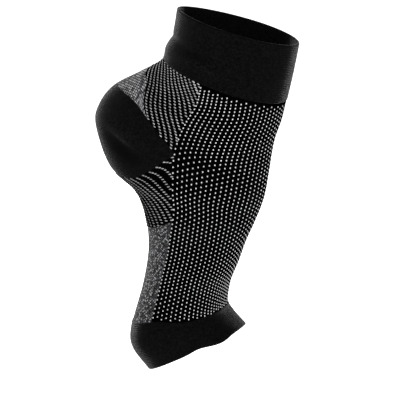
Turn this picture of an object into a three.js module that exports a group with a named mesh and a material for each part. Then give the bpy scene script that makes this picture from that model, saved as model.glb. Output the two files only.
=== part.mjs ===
// Foot compression sleeve: an open-ended knitted tube that runs from a doubled cuff at the ankle end,
// round a heel pocket, to a band at the toe end. Each knitted zone is a thin curved wall of its own.
// Millimetres, +Z up, +X forward, +Y to the sleeve's outer side. The origin is the centre of the cuff's rim.

import * as THREE from 'three';

// Driving dimensions.
const KNIT_WALL = 1.5;
const WELT_PROUD = 0.5;
const WELT_WALL = KNIT_WALL + WELT_PROUD;
const ZONE_GAP = 0.3;

// Colours and finish of the yarns.
const BLACK_YARN = 0x151517;
const DOTTED_KNIT = 0x3a3a3c;
const RIB_KNIT = 0x47474a;
const SPECKLED_KNIT = 0x6b6b6e;
const YARN_ROUGHNESS = 0.9;

// Cross-sections from the cuff's rim to the band's rim. Each lies in a plane across the tube, from its
// back point to its front point in X and Z. belly is how far forward it is widest, the rounds are the
// powers of its superellipse halves, ridge moves its front crest sideways, and skew turns it so that its
// inner side lies nearer the toe end.
const SECTION_COLUMNS = [
  'name', 'backX', 'backZ', 'frontX', 'frontZ', 'halfWidth',
  'belly', 'backRound', 'frontRound', 'ridge', 'skew',
];
const SECTIONS = namedRows(SECTION_COLUMNS, [
  ['rim',        -39.5,   11.0, 39.5,  -11.0, 31.0, 0.55, 1.8, 2.00,  0.0, 1.0],
  ['cuff_mid',   -42.7,   -6.0, 35.7,  -29.5, 32.0, 0.56, 1.8, 2.00,  0.0, 1.5],
  ['cuff_base',  -49.0,  -22.0, 31.2,  -48.5, 34.0, 0.58, 1.8, 2.00,  0.0, 2.0],
  ['achilles',   -64.3,  -31.0, 28.3,  -61.0, 35.0, 0.62, 1.8, 1.95,  0.0, 1.5],
  ['heel_top',   -83.0,  -41.0, 24.2,  -73.0, 35.0, 0.63, 1.9, 1.90,  0.0, 1.0],
  ['heel_crown', -92.9,  -53.5, 22.3,  -83.5, 34.5, 0.62, 2.0, 1.90, -1.0, 0.5],
  ['heel_back',  -94.9,  -67.0, 20.7,  -95.5, 34.0, 0.60, 2.1, 1.90, -2.0, 0.0],
  ['heel_base',  -85.6,  -92.5, 17.8, -111.5, 34.0, 0.57, 2.1, 1.90, -3.0, 0.0],
  ['heel_edge',  -68.2, -107.0, 12.2, -126.5, 34.5, 0.53, 2.2, 1.90, -4.0, 0.0],
  ['arch_top',   -60.7, -122.0,  5.9, -140.5, 36.0, 0.50, 2.2, 1.95, -5.0, 0.0],
  ['arch',       -57.3, -143.0,  1.0, -154.0, 38.0, 0.47, 2.3, 2.00, -6.0, 0.0],
  ['midfoot',    -60.0, -166.5, -4.6, -168.0, 41.0, 0.45, 2.4, 2.00, -7.0, 0.5],
  ['ball_top',   -67.0, -193.5, -7.0, -182.0, 44.5, 0.43, 2.5, 2.10, -7.0, 1.5],
  ['ball',       -66.5, -208.5, -4.1, -188.5, 45.5, 0.42, 2.5, 2.20, -6.0, 1.0],
  ['toe_rim',    -55.5, -224.5,  4.5, -196.5, 43.0, 0.42, 2.4, 2.20, -6.0, 0.5],
]);

// Dents and swellings of the worn tube: where each is, as a station and degrees round from the front,
// how far it spreads in each, and its height. The inner side is at negative degrees.
const RELIEF_COLUMNS = ['name', 'station', 'around', 'spreadStations', 'spreadDegrees', 'height'];
const RELIEF = namedRows(RELIEF_COLUMNS, [
  ['cuff_crease',         1.05,  180, 0.13, 55, -0.8],
  ['cuff_roll',           1.55,  180, 0.33, 60,  2.0],
  ['inner_ankle_swell',   3.20,  -75, 0.90, 26,  2.0],
  ['outer_ankle_swell',   3.80,  100, 0.90, 24,  3.0],
]);

// Stations where the body of the sleeve meets the cuff and the band, and the last station of all. Over the
// front the band starts lower: its edge swings there between two turns, and the knit above it follows.
const CUFF_EDGE = 2.0;
const BAND_EDGE = 11.86;
const BAND_FRONT_EDGE = 12.13;
const BAND_SWING_SIDE = 98.5;
const BAND_SWING_FRONT = 50;
const BAND_SWING_TOP = 10.4;
const LAST_STATION = SECTIONS.length - 1;

// Waves of the toe end's rim: degrees round to each side, their spread and how many stations they reach.
const RIM_WAVE_COLUMNS = ['name', 'around', 'spreadDegrees', 'stations'];
const RIM_WAVES = namedRows(RIM_WAVE_COLUMNS, [
  ['inner_dip',  66, 10, -0.07],
  ['front_lobe', 40, 15,  0.15],
]);

// Edges of the zones, as degrees round from the front and stations. They are drawn on one side, from the
// side of the tube towards its back, and the other side mirrors them.
const SEAMS = {
  upperSide: [[109, CUFF_EDGE], [100, 3.8], [96.5, 5.8]],
  heelTip: [[96.5, 5.8], [96.5, 6.0]],
  middleSide: [[96.5, 6.0], [97.5, 7.0], [101.5, 8.7]],
  lowerSide: [[101.5, 8.7], [104, 10.4], [BAND_SWING_SIDE, BAND_EDGE]],
  cuffEdge: [[109, CUFF_EDGE], [180, CUFF_EDGE]],
  heelShoulder: [[96.5, 5.8], [106.5, 5.16], [119, 4.5]],
  achillesTop: [[119, 4.5], [143, 3.24], [180, 2.61]],
  heelBack: [[119, 4.5], [137, 3.99], [180, 3.8]],
  heelBottom: [[96.5, 6.0], [103, 6.35], [113.7, 6.75], [134, 7.15], [180, 7.3]],
  archTop: [[101.5, 8.7], [125.7, 9.2], [156, 9.4], [180, 9.45]],
  bandEdge: [[BAND_SWING_SIDE, BAND_EDGE], [180, BAND_EDGE]],
};

// Facets of the walls: columns from the side of the tube to its back, rows along it.
const SHOULDER_COLUMNS = 5;
const BACK_COLUMNS = 7;
const SIDE_TO_BACK = SHOULDER_COLUMNS + BACK_COLUMNS;
const ANKLE_RIB_ROWS = 8;
const ACHILLES_ROWS = 6;
const HEEL_ROWS = 10;
const ARCH_RIB_ROWS = 8;
const ARCH_ROWS = 10;
const INSTEP_COLUMNS = 26;
const RING_COLUMNS = 48;
const CUFF_ROWS = 12;
const BAND_ROWS = 8;
const ACHILLES_TIP_CUT = 0.03;
const NORMAL_STEP = 0.001;

function namedRows(columns, rows) {
  return rows.map((row) => Object.fromEntries(row.map((value, index) => [columns[index], value])));
}

// A section's value between its stations, on a Catmull-Rom spline.
function sectionValue(column, station) {
  const start = THREE.MathUtils.clamp(Math.floor(station), 0, LAST_STATION - 1);
  const t = station - start;
  const from = SECTIONS[start][column];
  const to = SECTIONS[start + 1][column];
  const before = start > 0 ? SECTIONS[start - 1][column] : 2 * from - to;
  const after = start + 1 < LAST_STATION ? SECTIONS[start + 2][column] : 2 * to - from;
  const slope = to - before;
  const bend = 2 * before - 5 * from + 4 * to - after;
  const twist = 3 * from - before - 3 * to + after;
  return 0.5 * (2 * from + slope * t + bend * t * t + twist * t * t * t);
}

function signedPower(value, power) {
  return Math.sign(value) * Math.abs(value) ** power;
}

// The smooth tube, before its dents and swellings.
function tubePoint(station, around) {
  const value = (column) => sectionValue(column, station);
  const back = new THREE.Vector2(value('backX'), value('backZ'));
  const across = new THREE.Vector2(value('frontX'), value('frontZ')).sub(back);
  const depth = across.length();
  across.divideScalar(depth);
  const angle = THREE.MathUtils.degToRad(around);
  const forward = Math.cos(angle);
  const round = forward >= 0 ? value('frontRound') : value('backRound');
  const reach = forward >= 0 ? (1 - value('belly')) * depth : value('belly') * depth;
  const crest = signedPower(forward, 2 / round);
  const flank = signedPower(Math.sin(angle), 2 / round);
  const along = value('belly') * depth + reach * crest;
  const toeward = -value('skew') * flank;
  return new THREE.Vector3(
    back.x + across.x * along + across.y * toeward,
    value('halfWidth') * flank + value('ridge') * Math.max(crest, 0) ** 2,
    back.y + across.y * along - across.x * toeward,
  );
}

function tubeNormal(station, around) {
  const stationStep = NORMAL_STEP;
  const aroundStep = THREE.MathUtils.radToDeg(NORMAL_STEP);
  const alongTube = tubePoint(station + stationStep, around).sub(tubePoint(station - stationStep, around));
  const roundTube = tubePoint(station, around + aroundStep).sub(tubePoint(station, around - aroundStep));
  return alongTube.cross(roundTube).normalize();
}

function reliefHeight(station, around) {
  let height = 0;
  for (const dent of RELIEF) {
    const turn = THREE.MathUtils.euclideanModulo(around - dent.around + 180, 360) - 180;
    const stations = (station - dent.station) / dent.spreadStations;
    const degrees = turn / dent.spreadDegrees;
    height += dent.height * Math.exp(-stations * stations - degrees * degrees);
  }
  return height;
}

// A point of the worn tube, lifted off its outer face. place holds degrees round in x and the station in y.
function wallPoint(place, lift) {
  const normal = tubeNormal(place.y, place.x);
  return tubePoint(place.y, place.x).addScaledVector(normal, reliefHeight(place.y, place.x) + lift);
}

// The station where the band starts, at some degrees round.
function bandStart(around) {
  const swing = 1 - THREE.MathUtils.smoothstep(Math.abs(around), BAND_SWING_FRONT, BAND_SWING_SIDE);
  return BAND_EDGE + (BAND_FRONT_EDGE - BAND_EDGE) * swing;
}

// The station of the toe end's wavy rim, at some degrees round.
function rimStation(around) {
  let station = LAST_STATION;
  for (const wave of RIM_WAVES) {
    const turn = (Math.abs(around) - wave.around) / wave.spreadDegrees;
    station += wave.stations * Math.exp(-turn * turn);
  }
  return station;
}

// Places along a seam, spread evenly in its own parameter.
function seamPlaces(name, steps) {
  const points = SEAMS[name].map(([around, station]) => new THREE.Vector2(around, station));
  return new THREE.SplineCurve(points).getPoints(steps);
}

// Joins seam stretches end to end, without repeating the place that they share.
function joinPlaces(...stretches) {
  return stretches.reduce((joined, stretch) => joined.concat(stretch.slice(1)));
}

// A Coons patch between a zone's edges, on one side of the tube: from the side seam to the back line.
function halfPatch(top, bottom, side) {
  const columns = top.length - 1;
  const rows = side.length - 1;
  const backTop = top[columns];
  const backBottom = bottom[columns];
  return side.map((sidePlace, row) => {
    const down = row / rows;
    const backPlace = backTop.clone().lerp(backBottom, down);
    return top.map((topPlace, column) => {
      const inward = column / columns;
      const ruled = topPlace.clone().lerp(bottom[column], down);
      const swept = sidePlace.clone().lerp(backPlace, inward);
      const cornerTop = top[0].clone().lerp(backTop, inward);
      const corners = cornerTop.lerp(bottom[0].clone().lerp(backBottom, inward), down);
      return ruled.add(swept).sub(corners);
    });
  });
}

// The whole zone behind the tube's sides: one half and its mirror image, in order of rising degrees.
function backZone(top, bottom, side) {
  return halfPatch(top, bottom, side).map((half) => {
    const mirrored = half.slice(0, -1).reverse().map((place) => new THREE.Vector2(360 - place.x, place.y));
    return half.concat(mirrored);
  });
}

// The zone over the front: each row runs from side to side at one station, and near the band swings with it.
function frontZone(side) {
  return side.map((place) => {
    const near = Math.max(place.y - BAND_SWING_TOP, 0) / (BAND_EDGE - BAND_SWING_TOP);
    const row = [];
    for (let column = 0; column <= INSTEP_COLUMNS; column += 1) {
      const around = THREE.MathUtils.lerp(-place.x, place.x, column / INSTEP_COLUMNS);
      const swing = (bandStart(around) - BAND_EDGE) * near * near;
      row.push(new THREE.Vector2(around, place.y + swing));
    }
    return row;
  });
}

// A ring all the way round, between two edges whose stations depend on the degrees round.
function ringZone(firstEdge, lastEdge, rows) {
  const places = [];
  for (let row = 0; row <= rows; row += 1) {
    const ring = [];
    for (let column = 0; column < RING_COLUMNS; column += 1) {
      const around = -180 + (360 * column) / RING_COLUMNS;
      const station = THREE.MathUtils.lerp(firstEdge(around), lastEdge(around), row / rows);
      ring.push(new THREE.Vector2(around, station));
    }
    places.push(ring);
  }
  return places;
}

// Draws a run of places back from its first end by half the gap that zones keep.
function drawBack(first, second) {
  const span = wallPoint(first, 0).distanceTo(wallPoint(second, 0));
  first.lerp(second, ZONE_GAP / 2 / span);
}

function drawBackColumns(places) {
  for (const row of places) {
    const last = row.length - 1;
    drawBack(row[0], row[1]);
    drawBack(row[last], row[last - 1]);
  }
}

function drawBackTop(places) {
  places[0].forEach((place, column) => drawBack(place, places[1][column]));
}

function drawBackBottom(places) {
  const last = places.length - 1;
  places[last].forEach((place, column) => drawBack(place, places[last - 1][column]));
}

// A closed wall over a grid of places: its outer face, its inner face and the rims between them.
function wallGeometry(places, lift, wall, isRing) {
  const rows = places.length;
  const columns = places[0].length;
  const positions = [];
  for (const height of [lift, lift - wall]) {
    for (const row of places) {
      for (const place of row) positions.push(...wallPoint(place, height).toArray());
    }
  }
  const outer = (row, column) => row * columns + (column % columns);
  const inner = (row, column) => rows * columns + outer(row, column);
  const faces = [];
  const quad = (a, b, c, d) => faces.push(a, b, c, a, c, d);
  const columnSpans = isRing ? columns : columns - 1;
  for (let row = 0; row < rows - 1; row += 1) {
    for (let column = 0; column < columnSpans; column += 1) {
      quad(outer(row, column), outer(row + 1, column), outer(row + 1, column + 1), outer(row, column + 1));
      quad(inner(row, column), inner(row, column + 1), inner(row + 1, column + 1), inner(row + 1, column));
    }
  }
  const foot = rows - 1;
  for (let column = 0; column < columnSpans; column += 1) {
    quad(outer(0, column), outer(0, column + 1), inner(0, column + 1), inner(0, column));
    quad(outer(foot, column), inner(foot, column), inner(foot, column + 1), outer(foot, column + 1));
  }
  if (!isRing) {
    const end = columns - 1;
    for (let row = 0; row < rows - 1; row += 1) {
      quad(outer(row, 0), inner(row, 0), inner(row + 1, 0), outer(row + 1, 0));
      quad(outer(row, end), outer(row + 1, end), inner(row + 1, end), inner(row, end));
    }
  }
  const geometry = new THREE.BufferGeometry();
  geometry.setAttribute('position', new THREE.Float32BufferAttribute(positions, 3));
  geometry.setIndex(faces);
  geometry.computeVertexNormals();
  return geometry;
}

function knitMesh(name, geometry, color) {
  const material = new THREE.MeshStandardMaterial({ color, roughness: YARN_ROUGHNESS, metalness: 0 });
  const mesh = new THREE.Mesh(geometry, material);
  mesh.name = name;
  return mesh;
}

function zoneMesh(name, places, color) {
  drawBackColumns(places);
  drawBackTop(places);
  drawBackBottom(places);
  return knitMesh(name, wallGeometry(places, 0, KNIT_WALL, false), color);
}

function ankleCuff() {
  const places = ringZone(() => 0, () => CUFF_EDGE, CUFF_ROWS);
  drawBackBottom(places);
  return knitMesh('ankle_cuff', wallGeometry(places, WELT_PROUD, WELT_WALL, true), BLACK_YARN);
}

function forefootBand() {
  const places = ringZone(bandStart, rimStation, BAND_ROWS);
  drawBackTop(places);
  return knitMesh('forefoot_band', wallGeometry(places, WELT_PROUD, WELT_WALL, true), BLACK_YARN);
}

function ankleRibPanel() {
  const top = seamPlaces('cuffEdge', SIDE_TO_BACK);
  const shoulder = seamPlaces('heelShoulder', SHOULDER_COLUMNS);
  const bottom = joinPlaces(shoulder, seamPlaces('achillesTop', BACK_COLUMNS));
  const side = seamPlaces('upperSide', ANKLE_RIB_ROWS);
  return zoneMesh('ankle_rib_panel', backZone(top, bottom, side), RIB_KNIT);
}

function achillesPanel() {
  const top = seamPlaces('achillesTop', BACK_COLUMNS);
  const bottom = seamPlaces('heelBack', BACK_COLUMNS);
  const tipTop = top[0].clone().lerp(top[1], ACHILLES_TIP_CUT * BACK_COLUMNS);
  const tipBottom = bottom[0].clone().lerp(bottom[1], ACHILLES_TIP_CUT * BACK_COLUMNS);
  top[0] = tipTop;
  bottom[0] = tipBottom;
  const side = new THREE.LineCurve(tipTop, tipBottom).getPoints(ACHILLES_ROWS);
  return zoneMesh('achilles_panel', backZone(top, bottom, side), SPECKLED_KNIT);
}

function heelPocket() {
  const shoulder = seamPlaces('heelShoulder', SHOULDER_COLUMNS);
  const top = joinPlaces(shoulder, seamPlaces('heelBack', BACK_COLUMNS));
  const bottom = seamPlaces('heelBottom', SIDE_TO_BACK);
  const side = seamPlaces('heelTip', HEEL_ROWS);
  return zoneMesh('heel_pocket', backZone(top, bottom, side), BLACK_YARN);
}

function archRibPanel() {
  const top = seamPlaces('heelBottom', SIDE_TO_BACK);
  const bottom = seamPlaces('archTop', SIDE_TO_BACK);
  const side = seamPlaces('middleSide', ARCH_RIB_ROWS);
  return zoneMesh('arch_rib_panel', backZone(top, bottom, side), RIB_KNIT);
}

function archPanel() {
  const top = seamPlaces('archTop', SIDE_TO_BACK);
  const bottom = seamPlaces('bandEdge', SIDE_TO_BACK);
  const side = seamPlaces('lowerSide', ARCH_ROWS);
  return zoneMesh('arch_panel', backZone(top, bottom, side), SPECKLED_KNIT);
}

function instepPanel() {
  const side = joinPlaces(
    seamPlaces('upperSide', ANKLE_RIB_ROWS),
    seamPlaces('heelTip', 1),
    seamPlaces('middleSide', ARCH_RIB_ROWS),
    seamPlaces('lowerSide', ARCH_ROWS),
  );
  return zoneMesh('instep_panel', frontZone(side), DOTTED_KNIT);
}

const sleeve = new THREE.Group();
sleeve.name = 'foot_compression_sleeve';
sleeve.add(
  ankleCuff(),
  ankleRibPanel(),
  achillesPanel(),
  heelPocket(),
  archRibPanel(),
  archPanel(),
  instepPanel(),
  forefootBand(),
);

export default sleeve;
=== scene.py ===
# Foot compression sleeve: an open-ended knitted tube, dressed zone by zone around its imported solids.
# Sizes in the tables are millimetres in the part's own frame: +Z up, +X forward, inner side towards -Y.

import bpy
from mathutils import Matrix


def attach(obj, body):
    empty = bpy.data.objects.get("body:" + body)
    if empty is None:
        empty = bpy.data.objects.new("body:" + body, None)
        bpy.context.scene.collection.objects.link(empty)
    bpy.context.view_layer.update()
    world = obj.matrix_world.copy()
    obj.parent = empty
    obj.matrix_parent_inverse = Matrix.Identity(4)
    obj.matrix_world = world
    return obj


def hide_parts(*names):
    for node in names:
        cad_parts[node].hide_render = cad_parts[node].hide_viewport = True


bl_info = {
    "name": "Foot compression sleeve",
    "version": (1, 0, 0),
    "blender": (4, 5, 0),
    "location": "View3D > Sidebar > Sleeve",
    "description": "Knits a foot compression sleeve zone by zone around its packed solids",
    "category": "Add Mesh",
}

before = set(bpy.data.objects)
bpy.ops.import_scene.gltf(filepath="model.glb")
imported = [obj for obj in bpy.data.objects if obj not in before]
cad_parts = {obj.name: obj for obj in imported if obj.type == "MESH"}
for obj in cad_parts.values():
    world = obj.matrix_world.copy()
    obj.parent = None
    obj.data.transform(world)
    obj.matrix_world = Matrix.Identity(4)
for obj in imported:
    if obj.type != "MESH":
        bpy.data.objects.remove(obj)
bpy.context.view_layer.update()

import math

import bpy
import numpy as np
from bpy.props import FloatProperty, FloatVectorProperty, PointerProperty
from mathutils import Vector

MM = 0.001
BODY = "root"
KNIT_MAP = "knit"
TONE = "tone"
# Attribute holding a fold's height, which the black knit turns into painted light on the ridge and painted
# shade in the hollow.
FOLD_SHADE = "stretch"


def named_rows(columns, rows):
    """A table's rows, each with its values under the columns' names."""
    return [dict(zip(columns, row)) for row in rows]


def keyed_rows(columns, rows):
    """The same, each row under the value in its first column."""
    return {row[columns[0]]: row for row in named_rows(columns, rows)}


def named_columns(columns, rows):
    """A table's columns of numbers as arrays, under their names."""
    return {column: np.array(values) for column, values in zip(columns, zip(*rows)) if column != "name"}


# The tube

# Cross-sections from the cuff's rim to the band's rim. Each lies in a plane across the tube, from its
# back point to its front point. belly is how far forward it is widest, the rounds are the powers of its
# superellipse halves, ridge moves its front crest sideways, and skew brings its inner side toeward.
SECTION_COLUMNS = (
    "name", "back_x", "back_z", "front_x", "front_z", "half_width",
    "belly", "back_round", "front_round", "ridge", "skew",
)
SECTION = named_columns(SECTION_COLUMNS, (
    ("rim",        -39.5,   11.0, 39.5,  -11.0, 31.0, 0.55, 1.8, 2.00,  0.0, 1.0),
    ("cuff_mid",   -42.7,   -6.0, 35.7,  -29.5, 32.0, 0.56, 1.8, 2.00,  0.0, 1.5),
    ("cuff_base",  -49.0,  -22.0, 31.2,  -48.5, 34.0, 0.58, 1.8, 2.00,  0.0, 2.0),
    ("achilles",   -64.3,  -31.0, 28.3,  -61.0, 35.0, 0.62, 1.8, 1.95,  0.0, 1.5),
    ("heel_top",   -83.0,  -41.0, 24.2,  -73.0, 35.0, 0.63, 1.9, 1.90,  0.0, 1.0),
    ("heel_crown", -92.9,  -53.5, 22.3,  -83.5, 34.5, 0.62, 2.0, 1.90, -1.0, 0.5),
    ("heel_back",  -94.9,  -67.0, 20.7,  -95.5, 34.0, 0.60, 2.1, 1.90, -2.0, 0.0),
    ("heel_base",  -85.6,  -92.5, 17.8, -111.5, 34.0, 0.57, 2.1, 1.90, -3.0, 0.0),
    ("heel_edge",  -68.2, -107.0, 12.2, -126.5, 34.5, 0.53, 2.2, 1.90, -4.0, 0.0),
    ("arch_top",   -60.7, -122.0,  5.9, -140.5, 36.0, 0.50, 2.2, 1.95, -5.0, 0.0),
    ("arch",       -57.3, -143.0,  1.0, -154.0, 38.0, 0.47, 2.3, 2.00, -6.0, 0.0),
    ("midfoot",    -60.0, -166.5, -4.6, -168.0, 41.0, 0.45, 2.4, 2.00, -7.0, 0.5),
    ("ball_top",   -67.0, -193.5, -7.0, -182.0, 44.5, 0.43, 2.5, 2.10, -7.0, 1.5),
    ("ball",       -66.5, -208.5, -4.1, -188.5, 45.5, 0.42, 2.5, 2.20, -6.0, 1.0),
    ("toe_rim",    -55.5, -224.5,  4.5, -196.5, 43.0, 0.42, 2.4, 2.20, -6.0, 0.5),
))

# Dents and swellings of the worn tube: a station and degrees round from the front, how far each
# spreads in both, and its height.
RELIEF_COLUMNS = ("name", "station", "around", "spread_stations", "spread_degrees", "height")
RELIEF = named_rows(RELIEF_COLUMNS, (
    ("cuff_crease",       1.05, 180, 0.13, 55, -0.8),
    ("cuff_roll",         1.55, 180, 0.33, 60,  2.0),
    ("inner_ankle_swell", 3.20, -75, 0.90, 26,  2.0),
    ("outer_ankle_swell", 3.80, 100, 0.90, 24,  3.0),
))

# Soft folds of the inner side, each along a line seen from that side, with its spread to both sides. The
# black knit also gets painted light on their ridges and painted shade in their hollows.
FOLD_COLUMNS = ("name", "start_x", "start_z", "end_x", "end_z", "height", "spread_above", "spread_below")
FOLDS = named_rows(FOLD_COLUMNS, (
    ("heel_ridge",  -89.0, -58.0, -53.0, -81.5,  0.6, 6.0, 4.0),
    ("heel_valley", -86.0, -67.0, -54.5, -87.8, -1.4, 4.2, 6.0),
    ("cuff_ridge",  -40.0, -16.5,   4.0, -31.0,  0.5, 2.0, 3.0),
    ("cuff_valley", -36.0, -12.0, -10.0, -21.4, -0.5, 1.8, 1.8),
))

# Stations where the body of the sleeve meets the cuff and the band, and the last station of all. Over the
# front the band starts lower: its edge swings there between two turns, and the knit above it follows.
CUFF_EDGE = 2.0
BAND_EDGE = 11.86
BAND_FRONT_EDGE = 12.13
BAND_SWING_SIDE = 98.5
BAND_SWING_FRONT = 50
BAND_SWING_TOP = 10.4
LAST_STATION = len(SECTION["back_x"]) - 1

# Waves of the toe end's rim: degrees round to each side, their spread and how many stations they reach.
RIM_WAVE_COLUMNS = ("name", "around", "spread_degrees", "stations")
RIM_WAVES = named_rows(RIM_WAVE_COLUMNS, (
    ("inner_dip",  66, 10, -0.07),
    ("front_lobe", 40, 15,  0.15),
))

# Edges of the zones, as degrees round from the front and stations, on one side. The other mirrors them.
SEAMS = {
    "upper_side": ((109, CUFF_EDGE), (100, 3.8), (96.5, 5.8)),
    "heel_tip": ((96.5, 5.8), (96.5, 6.0)),
    "middle_side": ((96.5, 6.0), (97.5, 7.0), (101.5, 8.7)),
    "lower_side": ((101.5, 8.7), (104, 10.4), (BAND_SWING_SIDE, BAND_EDGE)),
    "cuff_edge": ((109, CUFF_EDGE), (180, CUFF_EDGE)),
    "heel_shoulder": ((96.5, 5.8), (106.5, 5.16), (119, 4.5)),
    "achilles_top": ((119, 4.5), (143, 3.24), (180, 2.61)),
    "heel_back": ((119, 4.5), (137, 3.99), (180, 3.8)),
    "heel_bottom": ((96.5, 6.0), (103, 6.35), (113.7, 6.75), (134, 7.15), (180, 7.3)),
    "arch_top": ((101.5, 8.7), (125.7, 9.2), (156, 9.4), (180, 9.45)),
    "band_edge": ((BAND_SWING_SIDE, BAND_EDGE), (180, BAND_EDGE)),
}

# Mesh steps: columns from a side seam to the back line, rows along the tube.
SHOULDER_COLUMNS = 22
BACK_COLUMNS = 54
RIB_FINENESS = 2
ANKLE_RIB_ROWS = 44
ACHILLES_ROWS = 20
HEEL_ROWS = 80
HEEL_TIP_ROWS = 2
ARCH_RIB_ROWS = 54
ARCH_ROWS = 44
SEAM_STEPS = 200
INSTEP_COLUMNS = 256
RING_COLUMNS = 300
CUFF_ROWS = 40
BAND_ROWS = 30
RIM_STEPS = 8
EDGE_STEPS = 3
ACHILLES_TIP_CUT = 0.005
NORMAL_STEP = 0.001
SHARP_EDGE = math.radians(50)

# Length of one station along the cuff and along the band, for rounding their rims.
CUFF_STATION = 18.0
BAND_STATION = 15.0

# How the stitches lie

# Every fourth course of dots: the stations that it runs through at the front and at the side.
COURSE_COLUMNS = ("front", "side")
COURSE = named_columns(COURSE_COLUMNS, (
    (2.15, 2.15), (3.00, 2.80), (3.85, 3.50), (4.80, 4.20),
    (5.70, 5.05), (6.40, 6.15), (7.00, 6.90), (7.60, 7.80),
    (8.30, 8.70), (9.05, 9.35), (9.80, 9.90), (10.45, 10.40),
    (11.00, 10.85), (11.52, 11.30), (12.10, 11.76), (12.75, 12.25),
))
COURSES_A_ROW = 4
COURSE_SIDE = 95.0
COURSE_BEND = 2.4
COURSE_MARGIN = 0.04

# Wales of dots run along the side seam: how many there are from it to the front line, where the first
# lies, and how they crowd towards the seam at some stations.
WALES = 21.25
FIRST_WALE = 0.25
CROWD_STATIONS = (2.0, 3.0, 4.0, 6.0, 7.5, 9.0, 12.0)
CROWDING = (0.05, 0.05, 0.0, 0.0, 0.11, -0.02, 0.0)

# Ribs behind the ankle: the degrees round of one rib at the cuff, the degrees between ribs there, how a
# rib gains degrees with each station, its square and its cube, how the ribs close up with each station on
# both sides of one place, and where they ease level towards the back.
ANKLE_RIB_FIRST = 111.5
ANKLE_RIB_STEP = 4.61
ANKLE_RIB_GAINS = (20.0, 1.97, -0.727)
ANKLE_RIB_FAN = 0.176
ANKLE_FAN_MIDDLE = 113.0
ANKLE_EASE_FROM = 138.0
ANKLE_EASE_SPAN = 80.0

# Ribs under the heel: the degrees round of one rib at a station, the degrees between ribs, how a rib gains
# degrees with each station, how far and how deep it hooks along the heel's edge, and its round at the sole.
ARCH_RIB_FIRST = 72.6
ARCH_RIB_STEP = 6.36
ARCH_RIB_STATION = 7.0
ARCH_RIB_GAIN = 11.0
ARCH_HOOK = 6.8
ARCH_HOOK_SPREAD = 0.2
ARCH_SOLE_ROUND = 50.0

# A rib that the zone's edge cuts off starts afresh past a gap of this length, if it has enough places.
RIB_BREAK = 3.0
SHORTEST_RIB = 4

# Ribs and wales rise and sink about the middle of their wave. Rib stitches sit at a share of its height.
WAVE_MIDDLE = 0.5
RIB_SEAT = 0.25

# Turn of the rib stitches from their course towards the toe end, in degrees, and how it grows.
ANKLE_STITCH_TURN = 8.0
ANKLE_TURN_PER_STATION = 5.0
ARCH_STITCH_TURN = -24.0
ARCH_TURN_PER_DEGREE = 0.8
ARCH_TURN_FROM = 97.0

# Tones of the pale stitches: the range that they vary in, and how much darker their tail ends are.
TONE_COLUMNS = ("name", "low", "high", "tail_fade")
TONES = keyed_rows(TONE_COLUMNS, (
    ("dots",  0.80, 0.95, 0.0),
    ("ankle", 0.52, 0.80, 0.6),
    ("arch",  0.50, 0.74, 0.4),
))

# The first short ribs under the cuff are full, the next ones slack and dim, and the one after full again.
ANKLE_WAVE_COLUMNS = ("name", "rib", "spread", "tone", "swell")
ANKLE_WAVES = named_rows(ANKLE_WAVE_COLUMNS, (
    ("full_ribs",  0.8, 0.6,  0.3, 0.25),
    ("slack_ribs", 2.3, 0.7, -0.4, 0.0),
    ("full_rib",   3.4, 0.4,  0.2, 0.2),
))

# Dots are smaller towards the band, where the knit is stretched less.
SHRINK_STATIONS = (7.0, 10.5)
SHRINK = (1.0, 0.9)

# Painted shade: pale stitches are drawn dimmer towards the back line and the sole, which face away from the
# light.
BACK_FROM = 97.0
BACK_FULL = 155.0
ANKLE_PAINTED_SHADE = 0.35
SOLE_PAINTED_SHADE = 0.95
WANDER_SEED = 11


def linear(code):
    """An sRGB hex colour as linear red, green and blue."""
    channels = [int(code[index:index + 2], 16) / 255 for index in (1, 3, 5)]
    return tuple(c / 12.92 if c <= 0.04045 else ((c + 0.055) / 1.055) ** 2.4 for c in channels)


def length_property(name, description, millimetres):
    """A length that the panel shows in the scene's unit."""
    return FloatProperty(
        name=name, description=description, default=millimetres * MM,
        min=0.0, precision=5, subtype="DISTANCE", unit="LENGTH",
    )


def colour_property(name, description, code):
    """A colour that the panel shows as a swatch."""
    return FloatVectorProperty(
        name=name, description=description, default=linear(code),
        min=0.0, max=1.0, size=3, subtype="COLOR",
    )


class SleeveSizes(bpy.types.PropertyGroup):
    """Sizes of the knit"""

    knit_wall: length_property("Knit wall", "Thickness of the single knit", 1.5)
    welt_proud: length_property("Welt proud", "How far the doubled welts stand off the knit", 0.5)
    wale_width: length_property("Wale width", "Width of a plain stitch, drawn coarse to show", 1.3)
    course_height: length_property("Course height", "Height of a plain stitch, drawn coarse to show", 1.05)
    mottle_size: length_property("Mottle size", "Size of the black knit's slightly paler patches", 1.4)
    dot_wale_height: length_property("Dot wale height", "How far a wale of dots stands up", 0.18)
    dot_width: length_property("Dot width", "Width of a dot stitch", 0.9)
    dot_length: length_property("Dot length", "Length of a dot stitch along its wale", 1.1)
    dot_height: length_property("Dot height", "How far a dot stitch stands up", 0.3)
    rib_height: length_property("Rib height", "How far a rib stands above its grooves", 0.45)
    rib_stitch_step: length_property("Rib stitch step", "Distance between stitches along a rib", 2.0)
    ankle_stitch_length: length_property("Ankle stitch length", "Length of a stitch behind the ankle", 2.05)
    ankle_stitch_width: length_property("Ankle stitch width", "Width of a stitch behind the ankle", 0.8)
    arch_stitch_length: length_property("Arch stitch length", "Length of a stitch under the heel", 2.1)
    arch_stitch_width: length_property("Arch stitch width", "Width of a stitch under the heel", 0.75)
    rib_stitch_height: length_property("Rib stitch height", "How far a rib stitch stands up", 0.35)


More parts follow.
